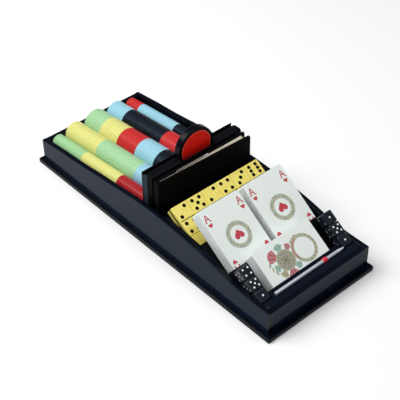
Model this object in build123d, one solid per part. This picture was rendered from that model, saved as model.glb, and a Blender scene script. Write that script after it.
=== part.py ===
from build123d import *
import math
import os

os.makedirs("parts", exist_ok=True)

# ---------------------------------------------------------------- sizes, mm
# shell: X is the width, +Y runs from the pencil ledge to the chip rows, +Z up,
# origin at the bottom centre of the base plate
BASE_W, BASE_L, BASE_T = 167.0, 422.6, 5.5
WALL_T = 6.3
OUT_X, OUT_Y = 78.5, 205.0
IN_X = OUT_X - WALL_T
IN_Y = OUT_Y - WALL_T
REAR_TOP = 36.1
FRONT_TOP = 35.7
SEAT = 0.05            # air between flat faces that rest on each other
# top line of a side wall, (y, z), rear to front
SIDE_TOP = [(205.0, 36.1), (184.5, 38.2), (164.3, 40.3), (122.5, 43.4), (91.0, 47.1), (63.8, 49.6),
            (44.0, 51.9), (25.1, 53.9), (6.3, 55.0), (-11.5, 55.3), (-31.4, 54.6), (-55.5, 53.0),
            (-73.3, 51.5), (-87.9, 49.8), (-104.7, 47.5), (-119.3, 44.9), (-137.1, 40.8),
            (-153.9, 37.6), (-169.6, 36.2), (-185.3, 35.7)]

# chip rows: axes lean 5.1 degrees, rising towards the front
CHIP_TILT = 5.1
ROW_X = [-59.3, -33.4, 0.0, 33.4, 59.3]
ROW_R = [9.4, 15.0, 18.1, 15.0, 9.4]
ROW_H = [-8.3, -7.4, -7.3, -7.4, -8.3]
CHIP_S0 = 6.65
CHIP_N = 46
CHIP_P = 3.98
CHIP_EDGE = 0.5
TROUGH_GAP = 0.35
TRAY_H = -12.0
# colour groups of each row: (name, chips)
ROW_GROUPS = [
    [("green", 15), ("yellow", 18), ("red", 13)],
    [("yellow", 16), ("light_green", 19), ("light_blue", 11)],
    [("light_green", 8), ("yellow", 9), ("red", 9), ("light_blue", 9), ("black", 11)],
    [("light_blue", 8), ("black", 19), ("red", 19)],
    [("red", 6), ("light_blue", 18), ("black", 22)],
]

# upright slot block
BLOCK_X = 69.0
PANEL_Y0, PANEL_Y1, PANEL_TOP = 11.6, 13.2, 93.5
HOLDER_Y0, HOLDER_Y1, HOLDER_TOP = -5.2, 11.5, 94.0
SLOT_FLOOR_TOP = 8.0
SLOT_FRONT_Y0, SLOT_FRONT_Y1, SLOT_FRONT_TOP = -28.9, -27.4, 50.5

# dealer button
PUCK_X, PUCK_Z = 2.7, 98.5
PUCK_R, PUCK_FACE_R, PUCK_T = 26.0, 22.2, 9.4
PUCK_GAP = 0.35
LIP_GAP = 3.6         # from the face plane to the wall in front of it

# score book
BOOK_X0, BOOK_X1 = -69.4, 69.0
BOOK_Z0, BOOK_Z1 = 8.1, 92.7
COVER_T = 2.9
BACK_Y = -8.4
BOOK_INNER = 2.2       # room between the covers at the spine
COVER_TURN = 2.16      # how far the front cover stands open, degrees
SPINE_T = 2.2

# dominoes
TILE_W, TILE_L, TILE_T = 22.1, 38.6, 8.0
TILE_PITCH_W, TILE_PITCH_L, TILE_PITCH_T = 22.27, 38.8, 8.1
TILE_LAYERS = 2
TILE_TILT = 33.2
TILE_Y, TILE_Z = -34.6, 67.6
TILE_EDGE = 0.9
RAIL_X = 69.6          # inner face of the liner rails beside the tiles

# card decks
CARD_W, CARD_L, DECK_T = 60.3, 88.0, 16.2
CARD_R = 3.2
DECK_TILT, DECK_Y, DECK_Z = 35.5, -73.8, 83.7
DECK1_X0, DECK2_X0 = -62.3, 5.6
DECK3_TILT, DECK3_Y, DECK3_Z, DECK3_X0 = 34.0, -142.5, 59.1, -45.9
FIN_T, FIN_H = 1.4, 7.0    # divider between the two rear decks

# dice
DIE = 15.0
DIE_EDGE = 1.9
DICE_TILT = 33.8
DICE_X = 64.4
DICE_TOPS = [(-156.3, 55.6), (-168.9, 47.15), (-181.6, 38.7)]
NOTCH_X0 = 56.4
NOTCH_Y = -189.4

# pencil ledge and pencil
LEDGE_Y = -179.4
RECESS_X0, RECESS_X1 = -54.0, 58.0
RECESS_Y0, RECESS_Y1, RECESS_Z = -191.0, -181.2, 31.3
RECESS_FLOOR_Y = -186.6
PENCIL_R, PENCIL_Y, PENCIL_Z = 2.3, -186.5, 34.6
PENCIL_X0, PENCIL_X1, PENCIL_TIP = -51.0, 46.0, 56.4
RING_X, RING_R, RING_L = 25.9, 3.3, 6.6
STUD_X, STUD_Y = -72.2, -197.2


# ------------------------------------------------------------------ helpers
def tan(a):
    return math.tan(math.radians(a))


def sin(a):
    return math.sin(math.radians(a))


def cos(a):
    return math.cos(math.radians(a))


def box(x0, x1, y0, y1, z0, z1):
    return Pos((x0 + x1) / 2, (y0 + y1) / 2, (z0 + z1) / 2) * Box(x1 - x0, y1 - y0, z1 - z0)


def prism(points, x0, x1):
    """A (y, z) outline extruded along X."""
    wire = Wire.make_polygon([Vector(x0, y, z) for y, z in points], close=True)
    return Part() + Solid.extrude(Face(wire), Vector(x1 - x0, 0, 0))


def slope_plane(y, z, tilt):
    """Plane on a surface that falls towards -Y: local y is up the slope, local z is its normal."""
    return Plane(origin=(0, y, z), x_dir=(1, 0, 0), z_dir=(0, -sin(tilt), cos(tilt)))


def save(shape, name):
    if isinstance(shape, (list, tuple)):
        shape = Compound(children=[s if isinstance(s, Solid) else s.solid() for s in shape])
    elif len(shape.solids()) == 1:
        shape = shape.solid()
    export_step(shape, f"parts/{name}.step")


def soften(shape, edges, r):
    return fillet(edges, r) if edges else shape


def deck_top(y):
    return DECK_Z + (y - DECK_Y) * tan(DECK_TILT)


def deck_low(y):
    return deck_top(y) - DECK_T / cos(DECK_TILT)


def deck3_top(y):
    return DECK3_Z + (y - DECK3_Y) * tan(DECK3_TILT)


def deck3_low(y):
    return deck3_top(y) - DECK_T / cos(DECK3_TILT)


def dice_low(y):
    """Plane under the dice."""
    y0 = DICE_TOPS[0][0] + DIE * sin(DICE_TILT)
    z0 = DICE_TOPS[0][1] - DIE * cos(DICE_TILT)
    return z0 + (y - y0) * tan(DICE_TILT)


# -------------------------------------------------------------------- shell
base = Pos(0, 0, BASE_T / 2) * Box(BASE_W, BASE_L, BASE_T)
base = fillet(base.edges().filter_by(Axis.Z), 1.2)
base = fillet(base.faces().sort_by(Axis.Z)[-1].edges(), 0.8)
save(base, "base_plate")


def side_wall(x0):
    top = [Vector(x0, y, z) for y, z in SIDE_TOP]
    curve = Edge.make_spline(top)
    pts = [top[-1], Vector(x0, -OUT_Y, FRONT_TOP), Vector(x0, -OUT_Y, BASE_T + SEAT),
           Vector(x0, OUT_Y, BASE_T + SEAT), top[0]]
    lines = [Edge.make_line(a, b) for a, b in zip(pts, pts[1:])]
    wall = Part() + Solid.extrude(Face(Wire([curve] + lines)), Vector(WALL_T, 0, 0))
    rims = [e for e in wall.edges()
            if e.center().Z > BASE_T + 12 and abs(e.center().X - (x0 + WALL_T / 2)) > WALL_T * 0.4
            and (e.bounding_box().size.Y > 10)]
    return fillet(rims, 0.9)


save(side_wall(-OUT_X), "left_wall")
save(side_wall(IN_X), "right_wall")

rear = box(-IN_X + SEAT, IN_X - SEAT, IN_Y, OUT_Y, BASE_T + SEAT, REAR_TOP)
rear = fillet(rear.edges().filter_by(Axis.X).sort_by(Axis.Z)[-2:], 0.9)
save(rear, "rear_wall")
front = box(-IN_X + SEAT, IN_X - SEAT, -OUT_Y, -IN_Y, BASE_T + SEAT, FRONT_TOP)
front = fillet(front.edges().filter_by(Axis.X).sort_by(Axis.Z)[-2:].sort_by(Axis.Y)[0], 0.9)
save(front, "front_wall")

# --------------------------------------------------------------- chip tray
D = Vector(0, -cos(CHIP_TILT), sin(CHIP_TILT))
N = Vector(0, sin(CHIP_TILT), cos(CHIP_TILT))
REF = Vector(0, OUT_Y, REAR_TOP)


def on_row(x, s, h):
    return REF + D * s + N * h + Vector(x, 0, 0)


def tray_top(y):
    return REAR_TOP + (OUT_Y - y) * tan(CHIP_TILT) + TRAY_H / cos(CHIP_TILT)


TRAY_Y0, TRAY_Y1 = PANEL_Y1 + 0.1, IN_Y - 0.1
tray = prism([(TRAY_Y1, BASE_T + SEAT), (TRAY_Y1, tray_top(TRAY_Y1)),
              (TRAY_Y0, tray_top(TRAY_Y0)), (TRAY_Y0, BASE_T + SEAT)], -IN_X + SEAT, IN_X - SEAT)
for x, r, h in zip(ROW_X, ROW_R, ROW_H):
    start = on_row(x, -10, h)
    tray -= Plane(origin=start, x_dir=(1, 0, 0), z_dir=D) * Cylinder(
        r + TROUGH_GAP, 240, align=(Align.CENTER, Align.CENTER, Align.MIN))
save(tray, "chip_tray")

# ------------------------------------------------------------------- chips
for row, groups in enumerate(ROW_GROUPS):
    chip = Cylinder(ROW_R[row], CHIP_P - 0.04, align=(Align.CENTER, Align.CENTER, Align.MIN))
    chip = chamfer(chip.edges().filter_by(GeomType.CIRCLE), CHIP_EDGE)
    n = 0
    for colour, count in groups:
        stack = []
        for k in range(count):
            at = on_row(ROW_X[row], CHIP_S0 + n * CHIP_P, ROW_H[row])
            stack.append((Plane(origin=at, x_dir=(1, 0, 0), z_dir=D) * chip).solid())
            n += 1
        save(stack, f"chips_row_{row + 1}_{colour}")
    assert n == CHIP_N

# -------------------------------------------------------------- slot block
panel = box(-BLOCK_X, BLOCK_X - 0.5, PANEL_Y0, PANEL_Y1, BASE_T + SEAT, PANEL_TOP)
panel = fillet(panel.edges().filter_by(Axis.X).sort_by(Axis.Z)[-2:], 0.4)
save(panel, "slot_rear_panel")

floor = box(-IN_X + SEAT, IN_X - SEAT, SLOT_FRONT_Y0, HOLDER_Y1, BASE_T + SEAT, SLOT_FLOOR_TOP)
floor += box(-IN_X + SEAT, IN_X - SEAT, SLOT_FRONT_Y0, SLOT_FRONT_Y1, BASE_T + SEAT, SLOT_FRONT_TOP)
save(floor, "book_slot_liner")

x0 = -BLOCK_X
hp = [Vector(x0, HOLDER_Y0, HOLDER_TOP - 3.4), Vector(x0, HOLDER_Y0 + 0.9, HOLDER_TOP - 1.0),
      Vector(x0, HOLDER_Y0 + 3.2, HOLDER_TOP), Vector(x0, 3.4, HOLDER_TOP),
      Vector(x0, 8.4, HOLDER_TOP - 1.7), Vector(x0, HOLDER_Y1, HOLDER_TOP - 5.2)]
low = SLOT_FLOOR_TOP + SEAT
holder_wire = Wire([
    Edge.make_line(Vector(x0, HOLDER_Y0, low), hp[0]),
    Edge.make_three_point_arc(hp[0], hp[1], hp[2]),
    Edge.make_line(hp[2], hp[3]),
    Edge.make_three_point_arc(hp[3], hp[4], hp[5]),
    Edge.make_line(hp[5], Vector(x0, HOLDER_Y1, low)),
    Edge.make_line(Vector(x0, HOLDER_Y1, low), Vector(x0, HOLDER_Y0, low))])
holder = Part() + Solid.extrude(Face(holder_wire), Vector(2 * BLOCK_X, 0, 0))
# the slot keeps a wall of the block in front of the button's face
pocket = Plane(origin=(PUCK_X, PUCK_T + 0.3, PUCK_Z), x_dir=(1, 0, 0), z_dir=(0, -1, 0)) * Cylinder(
    PUCK_R + PUCK_GAP, PUCK_T + 0.3 + LIP_GAP, align=(Align.CENTER, Align.CENTER, Align.MIN))
holder -= pocket
save(holder, "button_holder")

# ------------------------------------------------------------ dealer button
face_plane = Plane(origin=(PUCK_X, 0, PUCK_Z), x_dir=(1, 0, 0), z_dir=(0, -1, 0))
disc = Cylinder(PUCK_R, PUCK_T, align=(Align.CENTER, Align.CENTER, Align.MAX))
disc = fillet(disc.edges().filter_by(GeomType.CIRCLE), 1.4)
disc -= Pos(0, 0, 0) * Cylinder(PUCK_FACE_R + 0.02, 1.2, align=(Align.CENTER, Align.CENTER, Align.MAX))
disc -= Pos(0, 0, -PUCK_T) * Cylinder(PUCK_FACE_R + 0.02, 1.2, align=(Align.CENTER, Align.CENTER, Align.MIN))
save(face_plane * disc, "button_rim")
inlay = Pos(0, 0, 0.1) * Cylinder(PUCK_FACE_R, 1.28, align=(Align.CENTER, Align.CENTER, Align.MAX))
inlay = fillet(inlay.edges().filter_by(GeomType.CIRCLE).sort_by(Axis.Z)[-1], 0.4)
back_inlay = Pos(0, 0, -PUCK_T) * Cylinder(PUCK_FACE_R, 1.18, align=(Align.CENTER, Align.CENTER, Align.MIN))
save([(face_plane * inlay).solid(), (face_plane * back_inlay).solid()], "button_faces")

# -------------------------------------------------------------- score book
board_x = BOOK_X0 + SPINE_T + 0.1
spine_y0 = BACK_Y - COVER_T - BOOK_INNER - COVER_T
spine = box(BOOK_X0, BOOK_X0 + SPINE_T, spine_y0, BACK_Y, BOOK_Z0, BOOK_Z1 - 0.2)
spine = fillet(spine.edges().filter_by(Axis.Z).sort_by(Axis.X)[:2], 1.0)
save(spine, "book_spine")
back = box(board_x, BOOK_X1, BACK_Y - COVER_T, BACK_Y, BOOK_Z0, BOOK_Z1)
back = fillet(back.edges().filter_by(Axis.Y), 1.2)
save(back, "book_back_cover")
# the front cover turns on its rounded inner edge
hinge_x, hinge_y = BOOK_X0 + SPINE_T + COVER_T / 2 + 0.3, spine_y0 + COVER_T / 2
cover = box(0, BOOK_X1 - hinge_x, -COVER_T / 2, COVER_T / 2, BOOK_Z0, BOOK_Z1)
cover = fillet(cover.edges().filter_by(Axis.Y).sort_by(Axis.X)[-2:], 1.2)
cover += Pos(0, 0, BOOK_Z0) * Cylinder(COVER_T / 2, BOOK_Z1 - BOOK_Z0, align=(Align.CENTER, Align.CENTER, Align.MIN))
cover = Pos(hinge_x, hinge_y, 0) * Rot(0, 0, -COVER_TURN) * cover
save(cover, "book_front_cover")
page_x0, page_x1 = -63.5, 62.8
py0 = BACK_Y - COVER_T - 0.1


def cover_rear(x):
    return hinge_y + COVER_T / 2 / cos(COVER_TURN) - (x - hinge_x) * tan(COVER_TURN)


# the leaves fan out from the spine; a loose leaflet lies behind them
leaf_x0, leaf_x1, leaf_t = -37.5, 10.3, 1.05
pages_wire = Wire.make_polygon([
    Vector(page_x0, py0, 0), Vector(leaf_x0 - 1.0, py0 - leaf_t - 0.1, 0),
    Vector(leaf_x1 + 0.7, py0 - leaf_t - 0.1, 0), Vector(leaf_x1 + 2.2, py0, 0), Vector(page_x1, py0, 0),
    Vector(page_x1 + 1.2, cover_rear(page_x1 + 1.2) + 0.15, 0),
    Vector(page_x0, py0 - 0.7, 0)], close=True)
pages = Part() + Solid.extrude(Face(pages_wire), Vector(0, 0, 81.0))
save(Pos(0, 0, BOOK_Z0 + 1.6) * pages, "book_pages")
save(box(leaf_x0, leaf_x1, py0 - leaf_t, py0, BOOK_Z0 + 1.7, BOOK_Z1 - 0.3), "book_leaflet")

# ---------------------------------------------------------------- dominoes
tile = Box(TILE_W, TILE_L, TILE_T, align=(Align.CENTER, Align.CENTER, Align.MAX))
tile = fillet(tile.edges(), TILE_EDGE)
cross = Rot(0, 0, 90) * tile


def layer_plane(k):
    return slope_plane(TILE_Y + k * TILE_PITCH_T * sin(TILE_TILT), TILE_Z - k * TILE_PITCH_T * cos(TILE_TILT), TILE_TILT)


row_a = [(-2.5 + i) * TILE_PITCH_W for i in range(6)]
row_b = [-3 * TILE_PITCH_W + (i + 0.5) * TILE_PITCH_L for i in range(3)]
va = -TILE_PITCH_L / 2
vb = -(TILE_PITCH_L + TILE_PITCH_W / 2)
for i, x in enumerate(row_a):
    save(layer_plane(0) * Pos(x, va, 0) * tile, f"domino_{i + 1}")
save([(layer_plane(0) * Pos(x, vb, 0) * cross).solid() for x in row_b], "dominoes_crosswise")
lower = []
for k in range(1, TILE_LAYERS):
    lower += [(layer_plane(k) * Pos(x, va, 0) * tile).solid() for x in row_a]
    lower += [(layer_plane(k) * Pos(x, vb, 0) * cross).solid() for x in row_b]
save(lower, "dominoes_lower_layer")

BED_Y = -89.7


def tile_floor(y):
    z = TILE_Z - ((TILE_LAYERS - 1) * TILE_PITCH_T + TILE_T + SEAT) / cos(TILE_TILT)
    return z + (y - TILE_Y) * tan(TILE_TILT)


# end of the tile rows, measured down the slope, and the stop that they lean on
stop_len = TILE_PITCH_L + TILE_PITCH_W + 0.1
depth = (TILE_LAYERS - 1) * TILE_PITCH_T + TILE_T + SEAT
stop_top = (TILE_Y - stop_len * cos(TILE_TILT), TILE_Z - stop_len * sin(TILE_TILT))
stop_low = (stop_top[0] + depth * sin(TILE_TILT), stop_top[1] - depth * cos(TILE_TILT))
bed = prism([(SLOT_FRONT_Y0 - SEAT, BASE_T + SEAT), (SLOT_FRONT_Y0 - SEAT, tile_floor(SLOT_FRONT_Y0 - SEAT)),
             stop_low, stop_top, (BED_Y + SEAT, stop_top[1]), (BED_Y + SEAT, BASE_T + SEAT)],
            -IN_X + SEAT, IN_X - SEAT)


def rim(y):
    """Height of a side wall's top at y."""
    for (ya, za), (yb, zb) in zip(SIDE_TOP, SIDE_TOP[1:]):
        if yb <= y <= ya:
            return zb + (za - zb) * (y - yb) / (ya - yb)


rail_ys = [SLOT_FRONT_Y0 - SEAT, -40.0, -55.0, -70.0, -80.0, BED_Y + SEAT]
for a, b in ((-IN_X + SEAT, -RAIL_X), (RAIL_X, IN_X - SEAT)):
    bed += prism([(rail_ys[0], BASE_T + SEAT)] + [(y, rim(y) - 0.3) for y in rail_ys]
                 + [(rail_ys[-1], BASE_T + SEAT)], a, b)
save(bed, "domino_bed")

# --------------------------------------------------------------- card decks
def deck(w, l, plane, x0):
    d = Pos(x0 + w / 2, -l / 2, 0) * Box(w, l, DECK_T, align=(Align.CENTER, Align.CENTER, Align.MAX))
    d = fillet(d.edges().filter_by(Axis.Z), CARD_R)
    return plane * d


deck_plane = slope_plane(DECK_Y, DECK_Z, DECK_TILT)
save(deck(CARD_W, CARD_L, deck_plane, DECK1_X0), "card_deck_left")
save(deck(CARD_W, CARD_L, deck_plane, DECK2_X0), "card_deck_right")
deck3_plane = slope_plane(DECK3_Y, DECK3_Z, DECK3_TILT)
save(deck(CARD_L, CARD_W, deck3_plane, DECK3_X0), "card_deck_front")

# bed under the two rear decks, with the fin between them
DECK_FRONT_Y = DECK_Y - CARD_L * cos(DECK_TILT)
DECK_TOE_Y = DECK_FRONT_Y + DECK_T * sin(DECK_TILT)
bed_end = DECK_TOE_Y - 0.3
bed = prism([(BED_Y, BASE_T + SEAT), (BED_Y, deck_low(BED_Y) - SEAT),
             (bed_end, deck_low(bed_end) - SEAT), (bed_end, BASE_T + SEAT)],
            -IN_X + SEAT, IN_X - SEAT)
fin_x = (DECK1_X0 + CARD_W + DECK2_X0) / 2
bed += prism([(BED_Y, deck_low(BED_Y) - 1.0), (BED_Y, deck_low(BED_Y) + FIN_H),
              (bed_end, deck_low(bed_end) + FIN_H), (bed_end, deck_low(bed_end) - 1.0)],
             fin_x - FIN_T / 2, fin_x + FIN_T / 2)
save(bed, "deck_bed")

# shelf over the rear decks' front ends, carrying the third deck
SHELF_Y = -136.3
TOE3_Y = DECK3_Y - CARD_W * cos(DECK3_TILT) + DECK_T * sin(DECK3_TILT)
SHELF_END = TOE3_Y - 0.5
g = 0.4
shelf = prism([
    (SHELF_Y, deck3_low(SHELF_Y) - SEAT),
    (SHELF_Y, deck_top(SHELF_Y) + g / cos(DECK_TILT)),
    (DECK_FRONT_Y - g * cos(DECK_TILT), deck_top(DECK_FRONT_Y - g * cos(DECK_TILT)) + g / cos(DECK_TILT)),
    (DECK_TOE_Y - 0.3 - SEAT, deck_low(DECK_TOE_Y) - 0.3),
    (DECK_TOE_Y - 0.3 - SEAT, BASE_T + SEAT),
    (SHELF_END, BASE_T + SEAT),
    (SHELF_END, deck3_low(SHELF_END) - SEAT)], -IN_X + SEAT, IN_X - SEAT)
save(shelf, "front_shelf")


# ramps under the dice, left and right of the third deck
RAMP_Y = -142.5


def ramp(sign):
    pts = [(RAMP_Y, deck3_low(RAMP_Y)), (RAMP_Y, dice_low(RAMP_Y) - SEAT), (NOTCH_Y, dice_low(NOTCH_Y) - SEAT),
           (NOTCH_Y, deck3_low(SHELF_END)), (SHELF_END, deck3_low(SHELF_END))]
    a, b = sorted((sign * NOTCH_X0, sign * (IN_X - SEAT)))
    return prism(pts, a, b)


save([ramp(-1).solid(), ramp(1).solid()], "dice_ramps")

# ------------------------------------------------------------------- dice
die = Box(DIE, DIE, DIE, align=(Align.CENTER, Align.CENTER, Align.MAX))
die = fillet(die.edges(), DIE_EDGE)
for side, sx in (("left", -1), ("right", 1)):
    for k, (y, z) in enumerate(DICE_TOPS):
        save(slope_plane(y, z, DICE_TILT) * Pos(sx * DICE_X, 0, 0) * die, f"die_{side}_{k + 1}")

# ----------------------------------------------------------- pencil ledge
ledge = prism([(-IN_Y + SEAT, BASE_T + SEAT), (-IN_Y + SEAT, FRONT_TOP), (LEDGE_Y, FRONT_TOP),
               (LEDGE_Y, deck3_low(LEDGE_Y) - SEAT + 0.1), (SHELF_END - SEAT, deck3_low(SHELF_END - SEAT) - SEAT + 0.1),
               (SHELF_END - SEAT, BASE_T + SEAT)], -IN_X + SEAT, IN_X - SEAT)
# pocket for the front of the third deck
pocket_plane = slope_plane(DECK3_Y, DECK3_Z, DECK3_TILT)
ledge -= pocket_plane * Pos(DECK3_X0 + CARD_L / 2, -CARD_W - g + 60, g) * Box(
    CARD_L + 1.0, 60, DECK_T + g + 3.0, align=(Align.CENTER, Align.MAX, Align.MAX))
# notches that the front dice stand in
for sign in (1, -1):
    a, b = sorted((sign * NOTCH_X0, sign * IN_X))
    ledge -= prism([(NOTCH_Y, deck3_low(SHELF_END) + 0.0), (NOTCH_Y, FRONT_TOP + 1), (LEDGE_Y + 1, FRONT_TOP + 1),
                    (LEDGE_Y + 1, 5.0), (SHELF_END - SEAT, deck3_low(SHELF_END) + 0.0)], a, b)
# recess for the pencil
recess = prism([(RECESS_Y0, FRONT_TOP + 1), (RECESS_Y0, RECESS_Z), (RECESS_FLOOR_Y, RECESS_Z),
                (RECESS_Y1, FRONT_TOP - 0.35), (RECESS_Y1 + 0.001, FRONT_TOP + 1)], RECESS_X0, RECESS_X1)
rr = (RECESS_Y1 - RECESS_Y0) / 2 - 0.05
ends = box(RECESS_X0, RECESS_X1, RECESS_Y0, RECESS_Y1, 20, 45)
ends = fillet(ends.edges().filter_by(Axis.Z), rr)
ledge -= recess & ends
# room for the pencil's ring
ledge -= Plane(origin=(RING_X, PENCIL_Y, PENCIL_Z), x_dir=(0, 1, 0), z_dir=(1, 0, 0)) * Cylinder(
    RING_R + 0.3, RING_L + 0.84)
save(ledge, "pencil_ledge")

stud = Pos(STUD_X, STUD_Y, FRONT_TOP + SEAT) * Cylinder(2.5, 0.7, align=(Align.CENTER, Align.CENTER, Align.MIN))
stud += Pos(STUD_X, STUD_Y, FRONT_TOP + SEAT + 0.6) * Cylinder(1.5, 1.5, align=(Align.CENTER, Align.CENTER, Align.MIN))
stud = fillet(stud.faces().sort_by(Axis.Z)[-1].edges(), 0.5)
save(stud, "locating_stud")

# ------------------------------------------------------------------ pencil
rod = Plane(origin=(PENCIL_X0, PENCIL_Y, PENCIL_Z), x_dir=(0, 1, 0), z_dir=(1, 0, 0))
barrel = Cylinder(PENCIL_R, PENCIL_X1 - PENCIL_X0, align=(Align.CENTER, Align.CENTER, Align.MIN))
barrel = fillet(barrel.edges().filter_by(GeomType.CIRCLE).sort_by(Axis.Z)[0], 0.5)
ring_at = Pos(0, 0, RING_X - PENCIL_X0)
groove = ring_at * (Cylinder(PENCIL_R + 1, RING_L + 0.04) - Cylinder(PENCIL_R - 0.6, RING_L + 0.04))
save(rod * (barrel - groove), "pencil_barrel")
ring = Cylinder(RING_R, RING_L)
ring = fillet(ring.edges().filter_by(GeomType.CIRCLE), 1.2)
ring -= Cylinder(PENCIL_R - 0.58, RING_L + 2)
save(rod * ring_at * ring, "pencil_ring")
tip = Pos(0, 0, PENCIL_X1 - PENCIL_X0 + 0.02) * Cone(PENCIL_R - 0.05, 0.9, PENCIL_TIP - PENCIL_X1,
                                                     align=(Align.CENTER, Align.CENTER, Align.MIN))
save(rod * tip, "pencil_tip")
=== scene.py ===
import math
import random

import bmesh
import bpy
from mathutils import Matrix, Vector


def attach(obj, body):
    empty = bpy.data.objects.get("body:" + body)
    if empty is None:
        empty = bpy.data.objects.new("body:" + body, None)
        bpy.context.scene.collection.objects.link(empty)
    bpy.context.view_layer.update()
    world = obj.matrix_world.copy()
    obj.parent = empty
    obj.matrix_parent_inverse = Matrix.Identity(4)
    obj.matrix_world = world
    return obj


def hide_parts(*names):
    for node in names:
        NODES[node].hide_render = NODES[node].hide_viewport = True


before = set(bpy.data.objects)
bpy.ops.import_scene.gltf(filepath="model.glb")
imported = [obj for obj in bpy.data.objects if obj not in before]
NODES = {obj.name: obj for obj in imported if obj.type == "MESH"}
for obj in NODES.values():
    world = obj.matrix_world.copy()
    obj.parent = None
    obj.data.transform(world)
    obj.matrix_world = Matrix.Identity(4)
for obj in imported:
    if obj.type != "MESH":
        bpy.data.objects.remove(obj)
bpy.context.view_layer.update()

MM = 0.001


# ------------------------------------------------------------------ materials
def new_mat(name):
    m = bpy.data.materials.new(name)
    m.use_nodes = True
    nt = m.node_tree
    return m, nt, nt.nodes["Principled BSDF"]


def node(nt, kind, **values):
    n = nt.nodes.new(kind)
    for k, v in values.items():
        if hasattr(n, k) and k not in n.inputs:
            setattr(n, k, v)
        else:
            n.inputs[k].default_value = v
    return n


def noise(nt, coords, scale, detail=3.0, rough=0.5, stretch=None):
    vec = coords
    if stretch:
        mp = node(nt, "ShaderNodeMapping")
        mp.inputs["Scale"].default_value = stretch
        nt.links.new(coords, mp.inputs["Vector"])
        vec = mp.outputs["Vector"]
    n = node(nt, "ShaderNodeTexNoise", Scale=scale, Detail=detail, Roughness=rough)
    nt.links.new(vec, n.inputs["Vector"])
    return n.outputs["Fac"]


def ramp(nt, fac, stops):
    r = nt.nodes.new("ShaderNodeValToRGB")
    els = r.color_ramp.elements
    while len(els) < len(stops):
        els.new(0.5)
    for e, (p, c) in zip(els, stops):
        e.position = p
        e.color = (*c, 1.0) if len(c) == 3 else c
    nt.links.new(fac, r.inputs["Fac"])
    return r.outputs["Color"]


def span(nt, fac, a, b):
    """Maps 0..1 to a..b."""
    m = node(nt, "ShaderNodeMapRange")
    m.inputs["To Min"].default_value = a
    m.inputs["To Max"].default_value = b
    nt.links.new(fac, m.inputs["Value"])
    return m.outputs["Result"]


def bump(nt, bsdf, height, strength, distance):
    b = node(nt, "ShaderNodeBump", Strength=strength, Distance=distance)
    nt.links.new(height, b.inputs["Height"])
    nt.links.new(b.outputs["Normal"], bsdf.inputs["Normal"])
    return b


def object_coords(nt):
    return nt.nodes.new("ShaderNodeTexCoord").outputs["Object"]


def surface(name, base, var=0.15, rough=(0.3, 0.45), scale=900.0, bump_scale=2500.0, bump_mm=0.02,
            specular=0.5, coat=0.0, coat_rough=0.05, sheen=0.0, metallic=0.0, bump_strength=0.25, stretch=None,
            tint=None):
    """Colour that drifts a little, roughness from a second noise and a fine bump."""
    m, nt, bsdf = new_mat(name)
    co = object_coords(nt)
    lo = tuple(max(0.0, c * (1 - var)) for c in base)
    hi = tuple(min(1.0, c * (1 + var)) for c in base)
    nt.links.new(ramp(nt, noise(nt, co, scale, 4.0, 0.6, stretch), [(0.3, lo), (0.7, hi)]),
                 bsdf.inputs["Base Color"])
    nt.links.new(span(nt, noise(nt, co, scale * 0.35, 5.0, 0.65, stretch), *rough), bsdf.inputs["Roughness"])
    bump(nt, bsdf, noise(nt, co, bump_scale, 3.0, 0.5, stretch), bump_strength, bump_mm * MM)
    bsdf.inputs["Specular IOR Level"].default_value = specular
    bsdf.inputs["Metallic"].default_value = metallic
    if coat:
        bsdf.inputs["Coat Weight"].default_value = coat
        bsdf.inputs["Coat Roughness"].default_value = coat_rough
    if tint:
        bsdf.inputs["Specular Tint"].default_value = (*tint, 1.0)
    if sheen:
        bsdf.inputs["Sheen Weight"].default_value = sheen
    return m


M = {}
M["lacquer"] = surface("gloss_black_lacquer", (0.0022, 0.0031, 0.0066), 0.2, (0.08, 0.14), 60.0, 140.0, 0.05,
                       specular=0.10, bump_strength=0.05, tint=(0.78, 0.92, 1.0))
# lighter, bluer copy of the lacquer with a blue specular tint for the outer wall faces: painted reflection of the white
# floor
M["lacquer_side"] = surface("gloss_black_lacquer_side", (0.0028, 0.0088, 0.0205), 0.2, (0.10, 0.16), 60.0, 140.0,
                            0.05, specular=0.080, bump_strength=0.05, tint=(0.70, 0.90, 1.0))
# lighter copy of the lacquer for the pencil ledge: painted reflection
M["lacquer_ledge"] = surface("gloss_black_lacquer_ledge", (0.0040, 0.0062, 0.0125), 0.2, (0.10, 0.16), 60.0, 140.0,
                             0.05, specular=0.12, bump_strength=0.05, tint=(0.74, 0.90, 1.0))
M["insert"] = surface("satin_black_insert", (0.0030, 0.0031, 0.0046), 0.25, (0.32, 0.45), 700.0, 2600.0, 0.02,
                      specular=0.06)
M["stud"] = surface("dark_stud", (0.010, 0.011, 0.016), 0.2, (0.25, 0.4), 2500.0, 5000.0, 0.01, specular=0.2)
CHIPS = {
    "green": (0.32, 0.57, 0.28), "light_green": (0.34, 0.58, 0.32), "yellow": (0.66, 0.65, 0.212),
    "red": (0.52, 0.022, 0.022), "light_blue": (0.295, 0.55, 0.66), "black": (0.0050, 0.0045, 0.0085),
    # darker copy of the red chip colour for row 1: painted shade
    "dark_red": (0.36, 0.014, 0.018),
}
for k, c in CHIPS.items():
    dark = k == "black"
    # black chips get a blue specular tint: painted reflection of the light-blue row beside them
    M["chip_" + k] = surface("chip_" + k, c, 0.07, (0.30, 0.42) if dark else (0.22, 0.34), 500.0, 2800.0, 0.02,
                             specular=0.36 if dark else 0.42, bump_strength=0.15 if dark else 0.25,
                             tint=(0.40, 0.78, 1.0) if dark else None)
M["button_black"] = surface("button_black", (0.0022, 0.0024, 0.0042), 0.2, (0.2, 0.3), 700.0, 2500.0, 0.02,
                            specular=0.10)
M["button_red"] = surface("button_red", (0.95, 0.014, 0.006), 0.08, (0.3, 0.4), 120.0, 1500.0, 0.02,
                          specular=0.12)
M["book_cover"] = surface("book_cover_cloth", (0.0025, 0.0025, 0.0032), 0.25, (0.5, 0.65), 1200.0, 3200.0, 0.06,
                          specular=0.03, bump_strength=0.5)
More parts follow.
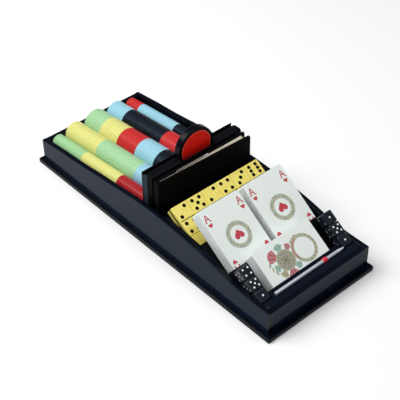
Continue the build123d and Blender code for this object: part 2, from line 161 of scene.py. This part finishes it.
# lighter red for a thin ring at the puck face's edge: painted highlight
M["button_edge"] = surface("button_edge_line", (0.95, 0.16, 0.10), 0.08, (0.3, 0.4), 900.0, 2500.0, 0.01)
M["ivory"] = surface("ivory_paper", (0.66, 0.60, 0.49), 0.10, (0.6, 0.8), 900.0, 3500.0, 0.02)
M["silver"] = surface("pencil_silver", (0.60, 0.63, 0.69), 0.12, (0.22, 0.36), 700.0, 2500.0, 0.02, metallic=0.6,
                      stretch=(0.05, 1.0, 1.0))
M["pencil_tip"] = surface("pencil_point", (0.54, 0.57, 0.65), 0.1, (0.3, 0.5), 2500.0, 4000.0, 0.02)
M["pencil_red"] = surface("pencil_red", (0.56, 0.024, 0.040), 0.15, (0.15, 0.25), 900.0, 4000.0, 0.02, specular=0.5)
M["die"] = surface("die_black", (0.011, 0.014, 0.021), 0.2, (0.12, 0.22), 500.0, 2500.0, 0.01, specular=0.35)
M["pip_white"] = surface("pip_white", (0.85, 0.86, 0.84), 0.05, (0.4, 0.5), 3000.0, 6000.0, 0.02)
# grey copy of the white pips for the dice side faces: painted shade
M["pip_painted_shade"] = surface("pip_painted_shade", (0.22, 0.23, 0.24), 0.1, (0.4, 0.5), 3000.0, 6000.0, 0.02)
M["pip_black"] = surface("pip_black", (0.003, 0.003, 0.003), 0.2, (0.4, 0.55), 3000.0, 6000.0, 0.02, specular=0.1)
M["print_red"] = surface("print_red", (0.50, 0.045, 0.060), 0.12, (0.4, 0.5), 2500.0, 6000.0, 0.005)
M["print_gold"] = surface("print_gold", (0.44, 0.39, 0.22), 0.25, (0.4, 0.5), 900.0, 6000.0, 0.005)
M["print_grey"] = surface("print_grey", (0.27, 0.27, 0.205), 0.25, (0.4, 0.5), 900.0, 6000.0, 0.005)
M["print_green"] = surface("print_green", (0.27, 0.46, 0.36), 0.2, (0.4, 0.5), 900.0, 6000.0, 0.005)
M["print_dark"] = surface("print_dark", (0.15, 0.14, 0.10), 0.2, (0.4, 0.5), 900.0, 6000.0, 0.005)
M["print_pale"] = surface("print_pale", (0.47, 0.49, 0.41), 0.16, (0.4, 0.5), 900.0, 6000.0, 0.005)
M["print_pink"] = surface("print_pink", (0.48, 0.105, 0.135), 0.15, (0.4, 0.5), 900.0, 6000.0, 0.005)
M["card"] = surface("card_stock", (0.76, 0.81, 0.775), 0.02, (0.34, 0.46), 400.0, 3500.0, 0.01, specular=0.35)


def two_tone():
    """Yellow face laminated on a black back, split along the tile's own thickness."""
    m, nt, bsdf = new_mat("domino_two_tone")
    co = object_coords(nt)
    tilt = math.radians(33.2)
    dot = node(nt, "ShaderNodeVectorMath", operation="DOT_PRODUCT")
    dot.inputs[1].default_value = (0.0, -math.sin(tilt), math.cos(tilt))
    nt.links.new(co, dot.inputs[0])
    top = -math.sin(tilt) * -0.0346 + math.cos(tilt) * 0.0676
    # each layer is 8.1 mm thick measured along this normal
    sub = node(nt, "ShaderNodeMath", operation="SUBTRACT")
    sub.inputs[0].default_value = top + 0.0001
    nt.links.new(dot.outputs["Value"], sub.inputs[1])
    mod = node(nt, "ShaderNodeMath", operation="MODULO")
    mod.inputs[1].default_value = 0.0081
    nt.links.new(sub.outputs[0], mod.inputs[0])
    gt = node(nt, "ShaderNodeMath", operation="GREATER_THAN")
    gt.inputs[1].default_value = 0.0044
    nt.links.new(mod.outputs[0], gt.inputs[0])
    yellow = ramp(nt, noise(nt, co, 260.0, 4.0, 0.6), [(0.3, (0.79, 0.67, 0.14)), (0.7, (0.85, 0.73, 0.18))])
    black = ramp(nt, noise(nt, co, 700.0, 3.0, 0.5), [(0.3, (0.008, 0.008, 0.009)), (0.7, (0.014, 0.013, 0.013))])
    mix = node(nt, "ShaderNodeMix", data_type="RGBA")
    nt.links.new(gt.outputs[0], mix.inputs["Factor"])
    nt.links.new(yellow, mix.inputs[6])
    nt.links.new(black, mix.inputs[7])
    nt.links.new(mix.outputs[2], bsdf.inputs["Base Color"])
    nt.links.new(span(nt, noise(nt, co, 500.0, 4.0, 0.6), 0.2, 0.34), bsdf.inputs["Roughness"])
    bump(nt, bsdf, noise(nt, co, 1500.0), 0.15, 0.02 * MM)
    return m


M["domino"] = two_tone()


def card_edges():
    """Stack edge: pale stock with faint darker lines between cards."""
    m, nt, bsdf = new_mat("card_edges")
    co = object_coords(nt)
    nt.links.new(ramp(nt, noise(nt, co, 1400.0, 5.0, 0.7), [(0.25, (0.62, 0.66, 0.67)), (0.75, (0.80, 0.83, 0.84))]),
                 bsdf.inputs["Base Color"])
    bsdf.inputs["Roughness"].default_value = 0.65
    bump(nt, bsdf, noise(nt, co, 2500.0), 0.2, 0.03 * MM)
    return m


M["card_edges"] = card_edges()


def leaflet_with_painted_shade():
    """White paper with painted shade: greyer towards the spine end, where it lies deeper between the leaves."""
    m, nt, bsdf = new_mat("leaflet_with_painted_shade")
    co = object_coords(nt)
    xyz = node(nt, "ShaderNodeSeparateXYZ")
    nt.links.new(co, xyz.inputs[0])
    along = node(nt, "ShaderNodeMapRange")
    along.inputs["From Min"].default_value = -0.0375
    along.inputs["From Max"].default_value = 0.0103
    nt.links.new(xyz.outputs["X"], along.inputs["Value"])
    # dark-to-white ramp along X: painted shade towards the spine end
    base = ramp(nt, along.outputs["Result"], [(0.0, (0.20, 0.18, 0.155)), (0.80, (0.36, 0.34, 0.31)),
                                              (0.92, (0.74, 0.74, 0.73))])
    mottle = node(nt, "ShaderNodeMix", data_type="RGBA", blend_type="MULTIPLY")
    mottle.inputs["Factor"].default_value = 0.4
    nt.links.new(base, mottle.inputs[6])
    nt.links.new(noise(nt, co, 1200.0, 4.0, 0.6), mottle.inputs[7])
    nt.links.new(mottle.outputs[2], bsdf.inputs["Base Color"])
    bsdf.inputs["Roughness"].default_value = 0.7
    bump(nt, bsdf, noise(nt, co, 3500.0), 0.2, 0.02 * MM)
    return m


M["white_paper"] = leaflet_with_painted_shade()


def holder_face_painted_highlight():
    """End of the holder block: black front part, and a lighter rear part that is a painted highlight."""
    m, nt, bsdf = new_mat("holder_face_painted_highlight")
    co = object_coords(nt)
    xyz = node(nt, "ShaderNodeSeparateXYZ")
    nt.links.new(co, xyz.inputs[0])
    back = node(nt, "ShaderNodeMapRange")
    back.inputs["From Min"].default_value = 0.0035
    back.inputs["From Max"].default_value = 0.0040
    nt.links.new(xyz.outputs["Y"], back.inputs["Value"])
    painted_highlight_colour = ramp(nt, noise(nt, co, 300.0, 4.0, 0.6), [(0.3, (0.022, 0.032, 0.042)), (0.7, (0.030, 0.043, 0.055))])
    black = ramp(nt, noise(nt, co, 700.0, 3.0, 0.5), [(0.3, (0.0012, 0.0012, 0.0020)), (0.7, (0.0022, 0.0022, 0.0032))])
    mix = node(nt, "ShaderNodeMix", data_type="RGBA")
    nt.links.new(back.outputs["Result"], mix.inputs["Factor"])
    nt.links.new(black, mix.inputs[6])
    nt.links.new(painted_highlight_colour, mix.inputs[7])
    nt.links.new(mix.outputs[2], bsdf.inputs["Base Color"])
    nt.links.new(span(nt, noise(nt, co, 500.0, 4.0, 0.6), 0.35, 0.5), bsdf.inputs["Roughness"])
    bsdf.inputs["Specular IOR Level"].default_value = 0.02
    bump(nt, bsdf, noise(nt, co, 2600.0), 0.2, 0.02 * MM)
    return m


M["holder_face_painted_highlight"] = holder_face_painted_highlight()


def paint(names, mat):
    for n in names:
        o = NODES[n]
        o.data.materials.clear()
        o.data.materials.append(mat)


paint(["base_plate", "left_wall", "right_wall", "rear_wall", "front_wall"], M["lacquer"])
# the ledge takes the lighter lacquer copy: painted reflection
paint(["pencil_ledge"], M["lacquer_ledge"])
paint(["chip_tray", "slot_rear_panel", "book_slot_liner", "button_holder", "domino_bed", "deck_bed", "front_shelf",
       "dice_ramps"], M["insert"])
paint(["locating_stud"], M["stud"])
for n in NODES:
    if n.startswith("chips_row"):
        paint([n], M["chip_" + n.split("_", 3)[3]])
    elif n.startswith("domino") and n != "domino_bed":
        paint([n], M["domino"])
    elif n.startswith("die_"):
        paint([n], M["die"])
paint(["button_rim"], M["button_black"])
paint(["button_faces"], M["button_red"])
paint(["book_spine", "book_back_cover", "book_front_cover"], M["book_cover"])
paint(["book_pages"], M["ivory"])
paint(["book_leaflet"], M["white_paper"])
paint(["pencil_barrel"], M["silver"])
paint(["pencil_tip"], M["pencil_tip"])
paint(["pencil_ring"], M["pencil_red"])
paint([n for n in NODES if n.startswith("card_deck")], M["card"])

# row 1 takes the darker copy of the red chip colour: painted shade on the lower row
paint(["chips_row_1_red"], M["chip_dark_red"])
# outward upright faces of the walls take a lighter, bluer copy of the lacquer: painted reflection of the white floor
for n, out in (("left_wall", (-1, 0)), ("right_wall", (1, 0)), ("rear_wall", (0, 1)), ("front_wall", (0, -1))):
    me = NODES[n].data
    me.materials.append(M["lacquer_side"])
    for p in me.polygons:
        if p.normal.x * out[0] + p.normal.y * out[1] > 0.5:
            p.material_index = 1

# left end faces of the holder take the lighter rear band: painted highlight
me = NODES["button_holder"].data
me.materials.append(M["holder_face_painted_highlight"])
for p in me.polygons:
    if p.normal.x < -0.9 and p.center.x < -0.068:
        p.material_index = 1

for n, o in NODES.items():
    for p in o.data.polygons:
        p.use_smooth = True
    if hasattr(o.data, "set_sharp_from_angle"):
        o.data.set_sharp_from_angle(angle=math.radians(32))


# -------------------------------------------------------------------- helpers
def slope_frame(y, z, tilt, x=0.0):
    """Columns: X, up the slope, normal, origin, in metres; y and z in mm."""
    t = math.radians(tilt)
    m = Matrix(((1, 0, 0, x * MM), (0, math.cos(t), -math.sin(t), y * MM), (0, math.sin(t), math.cos(t), z * MM),
                (0, 0, 0, 1)))
    return m


def build(name, polys, frame_m, body, mats, lift=0.0):
    """Flat printed shapes: polys is a list of (points in mm, material index, height in mm)."""
    bm = bmesh.new()
    for pts, mi, h in polys:
        vs = [bm.verts.new(frame_m @ Vector((x * MM, y * MM, (h + lift) * MM))) for x, y in pts]
        f = bm.faces.new(vs)
        f.material_index = mi
    bm.normal_update()
    me = bpy.data.meshes.new(name)
    bm.to_mesh(me)
    bm.free()
    o = bpy.data.objects.new(name, me)
    bpy.context.scene.collection.objects.link(o)
    for m in mats:
        me.materials.append(m)
    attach(o, body)
    return o


def circle(cx, cy, r, n=24, a0=0.0):
    return [(cx + r * math.cos(a0 + 2 * math.pi * i / n), cy + r * math.sin(a0 + 2 * math.pi * i / n))
            for i in range(n)]


def ring_quads(cx, cy, r0, r1, n=48, a0=0.0, a1=2 * math.pi):
    out = []
    for i in range(n):
        a = a0 + (a1 - a0) * i / n
        b = a0 + (a1 - a0) * (i + 1) / n
        out.append([(cx + r0 * math.cos(a), cy + r0 * math.sin(a)), (cx + r1 * math.cos(a), cy + r1 * math.sin(a)),
                    (cx + r1 * math.cos(b), cy + r1 * math.sin(b)), (cx + r0 * math.cos(b), cy + r0 * math.sin(b))])
    return out


def heart(cx, cy, s, turn=0.0, n=28):
    """A heart s mm wide with its point down at turn 0."""
    pts = []
    for i in range(n):
        t = 2 * math.pi * i / n
        x = 16 * math.sin(t) ** 3
        y = 13 * math.cos(t) - 5 * math.cos(2 * t) - 2 * math.cos(3 * t) - math.cos(4 * t)
        x, y = x * s / 32.0, y * s / 32.0
        c, q = math.cos(turn), math.sin(turn)
        pts.append((cx + x * c - y * q, cy + x * q + y * c))
    return pts[::-1]


def letter_a(cx, cy, h, turn=0.0):
    """A plain index letter as separate strokes."""
    w = h * 0.36
    t = h * 0.145
    strokes = [
        [(-w - t / 2, -h / 2), (-w + t * 0.7, -h / 2), (t * 0.45, h / 2), (-t * 0.45, h / 2)],
        [(w - t * 0.7, -h / 2), (w + t / 2, -h / 2), (t * 0.45, h / 2), (-t * 0.45, h / 2)],
        [(-w * 0.62, -h * 0.17), (w * 0.62, -h * 0.17), (w * 0.52, -h * 0.03), (-w * 0.52, -h * 0.03)],
        [(-w - t, -h / 2), (-w + t * 1.2, -h / 2), (-w + t * 1.2, -h / 2 + t * 0.4), (-w - t, -h / 2 + t * 0.4)],
        [(w - t * 1.2, -h / 2), (w + t, -h / 2), (w + t, -h / 2 + t * 0.4), (w - t * 1.2, -h / 2 + t * 0.4)],
    ]
    c, q = math.cos(turn), math.sin(turn)
    return [[(cx + x * c - y * q, cy + x * q + y * c) for x, y in s] for s in strokes]


def leaf(cx, cy, length, width, turn):
    c, q = math.cos(turn), math.sin(turn)
    pts = []
    for i in range(8):
        t = i / 8.0
        pts.append((length * (t - 0.5), width * 0.5 * math.sin(math.pi * t)))
    for i in range(8):
        t = 1 - i / 8.0
        pts.append((length * (t - 0.5), -width * 0.5 * math.sin(math.pi * t)))
    return [(cx + x * c - y * q, cy + x * q + y * c) for x, y in pts]


def rounded_rect(w, l, r, seg=5):
    pts = []
    for cx, cy, a0 in ((w / 2 - r, l / 2 - r, 0), (-w / 2 + r, l / 2 - r, 90), (-w / 2 + r, -l / 2 + r, 180),
                       (w / 2 - r, -l / 2 + r, 270)):
        for i in range(seg + 1):
            a = math.radians(a0 + 90.0 * i / seg)
            pts.append((cx + r * math.cos(a), cy + r * math.sin(a)))
    return pts


# ------------------------------------------------------------------ card decks
def card_stack(name, cad_node, body, frame_m, x0, w, l, seed, thick=16.2, count=54):
    """Separate cards, each a hair out of line with its neighbours."""
    rnd = random.Random(seed)
    bm = bmesh.new()
    pitch = thick / count
    for k in range(count):
        top = -thick + pitch * (k + 1)
        low = top - pitch * 0.86
        last = k == count - 1
        dx = 0.0 if last else rnd.uniform(-0.13, 0.13)
        dy = 0.0 if last else rnd.uniform(-0.13, 0.13)
        a = 0.0 if last else math.radians(rnd.uniform(-0.10, 0.10))
        outline = rounded_rect(w - 0.3, l - 0.3, 3.2)
        c, s = math.cos(a), math.sin(a)
        ring = [(x0 + w / 2 + dx + x * c - y * s, -l / 2 + dy + x * s + y * c) for x, y in outline]
        up = [bm.verts.new(frame_m @ Vector((x * MM, y * MM, top * MM))) for x, y in ring]
        dn = [bm.verts.new(frame_m @ Vector((x * MM, y * MM, low * MM))) for x, y in ring]
        f = bm.faces.new(up)
        f.material_index = 0
        f = bm.faces.new(dn[::-1])
        f.material_index = 0
        n = len(up)
        for i in range(n):
            f = bm.faces.new((up[i], dn[i], dn[(i + 1) % n], up[(i + 1) % n]))
            f.material_index = 1
    me = bpy.data.meshes.new(name)
    bm.to_mesh(me)
    bm.free()
    o = bpy.data.objects.new(name, me)
    bpy.context.scene.collection.objects.link(o)
    me.materials.append(M["card"])
    me.materials.append(M["card_edges"])
    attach(o, body)
    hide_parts(cad_node)
    return o


PRINTS = [M["print_red"], M["print_gold"], M["print_grey"], M["print_green"], M["print_dark"], M["print_pale"],
          M["print_pink"]]
RED, GOLD, GREY, GREEN, DARK, PALE, PINK = range(7)
CARD_W, CARD_L = 60.3, 88.0


def ace_print(name, body, frame_m, x0):
    """Plain ace of hearts: indices in all four corners and a pale ring of small ornaments round the centre heart."""
    polys = []
    mid = x0 + CARD_W / 2
    for sx in (-1, 1):
        cx = mid + sx * 24.1
        polys += [(p, RED, 0.03) for p in letter_a(cx, -11.3, 9.3)]
        polys.append((heart(cx, -20.0, 6.0), RED, 0.03))
        polys += [(p, RED, 0.03) for p in letter_a(cx, -76.7, 9.3, math.pi)]
        polys.append((heart(cx, -67.8, 6.0, math.pi), RED, 0.03))
    cx, cy = mid, -44.3
    polys.append((heart(cx, cy, 13.0, math.pi), RED, 0.05))
    polys += [(q, PALE, 0.03) for q in ring_quads(cx, cy, 10.6, 15.6, 72)]
    n = 28
    for i in range(n):
        a = 2 * math.pi * i / n
        x, y = cx + 14.4 * math.cos(a), cy + 14.4 * math.sin(a)
        polys.append((leaf(x, y, 5.2, 1.7, a + math.radians(40)), (GREY, GOLD, GREEN, GREY)[i % 4], 0.05))
        b = a + math.pi / n
        x, y = cx + 11.9 * math.cos(b), cy + 11.9 * math.sin(b)
        polys.append((leaf(x, y, 3.0, 1.1, b - math.radians(40)), (GOLD, GREY)[i % 2], 0.055))
        polys.append((circle(cx + 16.0 * math.cos(b), cy + 16.0 * math.sin(b), 0.5, 10), (GREY, GOLD)[i % 2], 0.05))
    polys += [(q, GREY, 0.06) for q in ring_quads(cx, cy, 13.0, 13.25, 72)]
    build(name, polys, frame_m, body, PRINTS)


def petal(polys, cx, cy, a, r0, r1, half, col, bars, h):
    """A fan-shaped petal between two radii, with darker bars across it."""
    n = 10
    inner = [(cx + r0 * math.cos(a + half * 0.55 * (2 * i / n - 1)), cy + r0 * math.sin(a + half * 0.55 * (2 * i / n - 1)))
             for i in range(n + 1)]
    outer = []
    for i in range(n + 1):
        t = 2 * i / n - 1
        r = r1 - (r1 - r0) * 0.30 * t * t
        outer.append((cx + r * math.cos(a + half * t), cy + r * math.sin(a + half * t)))
    for i in range(n):
        polys.append(([inner[i], outer[i], outer[i + 1], inner[i + 1]], col, h))
    for k in range(bars):
        t = (k + 0.5) / bars * 2 - 1
        x = cx + (r0 + r1) / 2 * math.cos(a + half * 0.78 * t)
        y = cy + (r0 + r1) / 2 * math.sin(a + half * 0.78 * t)
        polys.append((leaf(x, y, (r1 - r0) * 0.72, 0.62, a + half * 0.7 * t), DARK if k % 2 else PALE, h + 0.02))


def rosette_print(name, body, frame_m):
    """A made-up flower round a medallion, with an open wreath beside it."""
    polys = []
    cx, cy = -12.3, -26.2
    for k, (deg, col, r1, half) in enumerate((
            (142, PINK, 23.0, 25), (92, GREEN, 20.0, 20), (192, GREEN, 18.5, 17), (228, GOLD, 21.0, 15),
            (268, PINK, 22.5, 23), (312, GREEN, 20.0, 16), (48, PINK, 19.5, 14))):
        petal(polys, cx, cy, math.radians(deg), 11.6, r1, math.radians(half), col, 5, 0.02 + 0.002 * k)
    # trailing leaves at the outer side
    for k in range(5):
        a = math.radians(168 + 17 * k)
        polys.append((leaf(cx + (22.0 - k) * math.cos(a), cy + (19.5 - 0.6 * k) * math.sin(a), 6.6, 2.3,
                           a + math.radians(74)), (GREY, GOLD)[k % 2], 0.05))
    # medallion: rings, rays and a small star
    polys += [(q, PALE, 0.06) for q in ring_quads(cx, cy, 11.4, 12.4, 60)]
    polys += [(q, GREY, 0.06) for q in ring_quads(cx, cy, 0.01, 11.4, 60)]
    polys += [(q, GOLD, 0.08) for q in ring_quads(cx, cy, 9.3, 10.0, 56)]
    polys += [(q, PALE, 0.08) for q in ring_quads(cx, cy, 6.4, 6.8, 48)]
    for i in range(30):
        a = 2 * math.pi * i / 30
        polys.append((leaf(cx + 8.1 * math.cos(a), cy + 8.1 * math.sin(a), 2.0, 0.7, a), (PALE, DARK)[i % 2], 0.09))
    for i in range(12):
        a = 2 * math.pi * i / 12
        polys.append((leaf(cx + 3.6 * math.cos(a), cy + 3.6 * math.sin(a), 3.8, 1.1, a), (GOLD, DARK)[i % 2], 0.09))
    polys.append((circle(cx, cy, 1.6, 16), DARK, 0.10))
    # open wreath
    wx, wy = 16.3, -25.6
    polys += [(q, GOLD, 0.07) for q in ring_quads(wx, wy, 13.2, 16.4, 72)]
    polys += [(q, GREY, 0.09) for q in ring_quads(wx, wy, 16.1, 16.6, 72)]
    polys += [(q, GREY, 0.09) for q in ring_quads(wx, wy, 12.9, 13.3, 72)]
    for i in range(36):
        a = 2 * math.pi * i / 36
        deg = 10 * i
        col = PINK if 118 < deg < 205 else GREEN if 215 < deg < 262 or 60 < deg < 96 else (PALE, GREY)[i % 2]
        polys.append((leaf(wx + 14.8 * math.cos(a), wy + 14.8 * math.sin(a), 3.4, 1.4, a + math.radians(38)), col,
                      0.10))
    for k in range(3):
        a = math.radians(100 + 14 * k)
        polys.append((leaf(wx + 18.6 * math.cos(a), wy + 18.0 * math.sin(a) - 0.6, 5.4, 1.7, a + math.radians(80)),
                      (GREY, GOLD, GREY)[k], 0.05))
    build(name, polys, frame_m, body, PRINTS)


DECKF = slope_frame(-73.8, 83.7, 35.5)
card_stack("deck_left_cards", "card_deck_left", "deck_left", DECKF, -62.3, CARD_W, CARD_L, 11)
card_stack("deck_right_cards", "card_deck_right", "deck_right", DECKF, 5.6, CARD_W, CARD_L, 12)
ace_print("deck_left_print", "deck_left", DECKF, -62.3)
ace_print("deck_right_print", "deck_right", DECKF, 5.6)
DECK3F = slope_frame(-142.5, 59.1, 34.0)
card_stack("deck_front_cards", "card_deck_front", "deck_front", DECK3F, -45.9, CARD_L, CARD_W, 13)
rosette_print("deck_front_print", "deck_front", DECK3F)


# -------------------------------------------------------------------- dominoes
PIP_XY = {
    0: [], 1: [(0, 0)], 2: [(-1, 1), (1, -1)], 3: [(-1, 1), (0, 0), (1, -1)],
    4: [(-1, 1), (1, 1), (-1, -1), (1, -1)], 5: [(-1, 1), (1, 1), (0, 0), (-1, -1), (1, -1)],
    6: [(-1, 1), (-1, 0), (-1, -1), (1, 1), (1, 0), (1, -1)],
}


def dome(bm, m, cx, cy, z, r, h, mat, n=16):
    """A shallow rounded pip."""
    rings = []
    for k, (rr, hh) in enumerate(((1.0, 0.0), (0.9, 0.6), (0.6, 0.92))):
        rings.append([bm.verts.new(m @ Vector(((cx + r * rr * math.cos(2 * math.pi * i / n)) * MM,
                                               (cy + r * rr * math.sin(2 * math.pi * i / n)) * MM,
                                               (z + h * hh) * MM))) for i in range(n)])
    top = bm.verts.new(m @ Vector((cx * MM, cy * MM, (z + h) * MM)))
    for a, b in zip(rings, rings[1:]):
        for i in range(n):
            f = bm.faces.new((a[i], a[(i + 1) % n], b[(i + 1) % n], b[i]))
            f.material_index = mat
            f.smooth = True
    for i in range(n):
        f = bm.faces.new((rings[-1][i], rings[-1][(i + 1) % n], top))
        f.material_index = mat
        f.smooth = True


def finish_bm(bm, name, body, mats):
    me = bpy.data.meshes.new(name)
    bm.to_mesh(me)
    bm.free()
    o = bpy.data.objects.new(name, me)
    bpy.context.scene.collection.objects.link(o)
    for m in mats:
        me.materials.append(m)
    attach(o, body)
    return o


TILEF = slope_frame(-34.6, 67.6, 33.2)
TPW, TPL = 22.27, 38.8
PIP_R, PIP_S = 2.35, 5.2


def tile_marks(bm, cx, cy, along_x, upper, lower):
    for half, value in ((1, upper), (-1, lower)):
        for px, py in PIP_XY[value]:
            if value in (2, 3):
                px = -px
            x, y = px * PIP_S, py * PIP_S
            if along_x:
                x, y = (half * TPL / 4 + y), x
            else:
                y = half * TPL / 4 + y
            dome(bm, TILEF, cx + x, cy + y, 0.0, PIP_R, 0.12, 0)
    # groove line between the halves
    w, l = (1.0, 20.0) if along_x else (20.0, 1.0)
    pts = [(cx - w / 2, cy - l / 2), (cx + w / 2, cy - l / 2), (cx + w / 2, cy + l / 2), (cx - w / 2, cy + l / 2)]
    f = bm.faces.new([bm.verts.new(TILEF @ Vector((x * MM, y * MM, 0.04 * MM))) for x, y in pts])
    f.material_index = 0


UPPER = [2, 5, 2, 4, 3, 6]
LOWER = [4, 1, 6, 3, 5, 2]
for i in range(6):
    bm = bmesh.new()
    tile_marks(bm, (-2.5 + i) * TPW, -TPL / 2, False, UPPER[i], LOWER[i])
    finish_bm(bm, f"domino_{i + 1}_pips", f"domino_{i + 1}", [M["pip_black"]])
bm = bmesh.new()
for i, (a, b) in enumerate(((0, 3), (5, 1), (2, 4))):
    tile_marks(bm, -3 * TPW + (i + 0.5) * TPL, -(TPL + TPW / 2), True, b, a)
finish_bm(bm, "dominoes_crosswise_pips", "box", [M["pip_black"]])


# ------------------------------------------------------------------------ dice
def die_pips(name, body, frame_m, faces):
    """faces: value of top, front, rear, left, right; opposite sides add to seven."""
    bm = bmesh.new()
    h = 7.5
    centre = frame_m @ Matrix.Translation((0, 0, -h * MM))
    turns = {
        "top": Matrix.Identity(4),
        "low": Matrix.Rotation(math.pi, 4, "X"),
        "front": Matrix.Rotation(math.pi / 2, 4, "X"),
        "rear": Matrix.Rotation(-math.pi / 2, 4, "X"),
        "left": Matrix.Rotation(-math.pi / 2, 4, "Y"),
        "right": Matrix.Rotation(math.pi / 2, 4, "Y"),
    }
    for side, value in faces.items():
        m = centre @ turns[side]
        for px, py in PIP_XY[value]:
            # pips on the side faces take the grey copy: painted shade
            dome(bm, m, px * 3.5, py * 3.5, h + 0.0, 1.15, 0.06, 0 if side == "top" else 1, 14)
    return finish_bm(bm, name, body, [M["pip_white"], M["pip_painted_shade"]])


def die_faces(top, front, left):
    return {"top": top, "low": 7 - top, "front": front, "rear": 7 - front, "left": left, "right": 7 - left}


DICE_AT = [(-156.3, 55.6), (-168.9, 47.15), (-181.6, 38.7)]
DICE_FACES = {"left": [(4, 1, 5), (5, 1, 3), (1, 3, 2)], "right": [(1, 3, 2), (5, 1, 4), (1, 2, 3)]}
DICE = {}
for side, sx in (("left", -1), ("right", 1)):
    for k, (y, z) in enumerate(DICE_AT):
        DICE[f"{side}_{k + 1}"] = (sx * 64.4, y, z, 33.8, die_faces(*DICE_FACES[side][k]))
for key, (x, y, z, tilt, faces) in DICE.items():
    die_pips(f"die_{key}_pips", f"die_{key}", slope_frame(y, z, tilt, x), faces)


# -------------------------------------------------------------- dealer button
FACEF = Matrix(((1, 0, 0, 2.7 * MM), (0, 0, -1, 0), (0, 1, 0, 98.5 * MM), (0, 0, 0, 1)))
# thin lighter ring round the puck face: painted highlight
build("button_face_painted_highlight", [(q, 0, 0.115) for q in ring_quads(0, 0, 21.1, 21.7, 96)], FACEF, "dealer_button",
      [M["button_edge"]])


# ------------------------------------------------------------------ score book
def page_leaves():
    """Fanned leaves between the covers, in place of the solid block."""
    rnd = random.Random(5)
    bm = bmesh.new()
    hinge_x, hinge_y = -65.45, -14.95
    t = math.tan(math.radians(2.16))
    n = 15
    z0, z1 = 9.8, 91.0

    def rear(x):
        return hinge_y + 1.5 - (x - hinge_x) * t

    for k in range(n):
        f = (k + 0.5) / n
        x1 = 62.0 + rnd.uniform(-1.2, 0.6)
        top = z1 + rnd.uniform(-0.5, 0.2)
        a = []
        for side in (-1, 1):
            for x in (-63.4, -20.0, 20.0, x1):
                back = -11.45 if not (-38.6 < x < 12.4) else -12.55
                y_near, y_far = back - 0.12, rear(x) + 0.25
                y = y_near + (y_far - y_near) * f
                gap = max(0.04, (y_near - y_far) / n * 0.36)
                a.append((x, y + side * gap))
        lo, hi = a[:4], a[4:]
        ring = lo + hi[::-1]
        up = [bm.verts.new(Vector((x * MM, y * MM, top * MM))) for x, y in ring]
        dn = [bm.verts.new(Vector((x * MM, y * MM, z0 * MM))) for x, y in ring]
        bm.faces.new(up)
        bm.faces.new(dn[::-1])
        m = len(up)
        for i in range(m):
            bm.faces.new((up[i], dn[i], dn[(i + 1) % m], up[(i + 1) % m]))
    bmesh.ops.recalc_face_normals(bm, faces=bm.faces)
    o = finish_bm(bm, "book_page_leaves", "score_book", [M["ivory"]])
    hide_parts("book_pages")


page_leaves()

# --------------------------------------------------------------- stage, lights
floor = bpy.data.meshes.new("studio_floor")
s = 6.0
floor.from_pydata([(-s, -s, 0), (s, -s, 0), (s, s, 0), (-s, s, 0)], [], [(0, 1, 2, 3)])
floor_o = bpy.data.objects.new("studio_floor", floor)
bpy.context.scene.collection.objects.link(floor_o)
fm, fnt, fb = new_mat("studio_floor")
fb.inputs["Base Color"].default_value = (0.83, 0.83, 0.83, 1)
fb.inputs["Roughness"].default_value = 0.9
fb.inputs["Specular IOR Level"].default_value = 0.1
floor.materials.append(fm)

world = bpy.data.worlds.new("studio")
bpy.context.scene.world = world
world.use_nodes = True
bg = world.node_tree.nodes["Background"]
bg.inputs["Color"].default_value = (0.92, 0.96, 1.0, 1)
bg.inputs["Strength"].default_value = 0.16


def area(name, loc, target, size, power, colour=(1, 1, 1)):
    light = bpy.data.lights.new(name, "AREA")
    light.shape = "RECTANGLE"
    light.size, light.size_y = size
    light.energy = power
    light.color = colour
    o = bpy.data.objects.new(name, light)
    bpy.context.scene.collection.objects.link(o)
    o.location = loc
    o.rotation_euler = (Vector(target) - Vector(loc)).to_track_quat("-Z", "Y").to_euler()
    return o


area("key", (-1.1, 0.9, 1.9), (0, 0, 0), (1.6, 1.6), 50)
area("top", (0.2, -0.2, 2.4), (0, 0, 0), (2.2, 2.2), 37)

# ---------------------------------------------------------------------- camera
cam_data = bpy.data.cameras.new("camera")
cam_data.sensor_width = 36.0
cam_data.sensor_fit = "HORIZONTAL"
cam_data.lens = 94.185
cam = bpy.data.objects.new("camera", cam_data)
bpy.context.scene.collection.objects.link(cam)
right = Vector((0.7473314, -0.6643183, -0.01330305))
up = Vector((0.44114466, 0.48109929, 0.75758489))
back = Vector((-0.49687742, -0.57203555, 0.65260107))
m = Matrix((right, up, back)).transposed().to_4x4()
m.translation = Vector((-0.62305, -0.72514, 0.84271))
cam.matrix_world = m
bpy.context.scene.camera = cam
bpy.context.scene.view_settings.view_transform = "Standard"
bpy.context.scene.view_settings.look = "None"
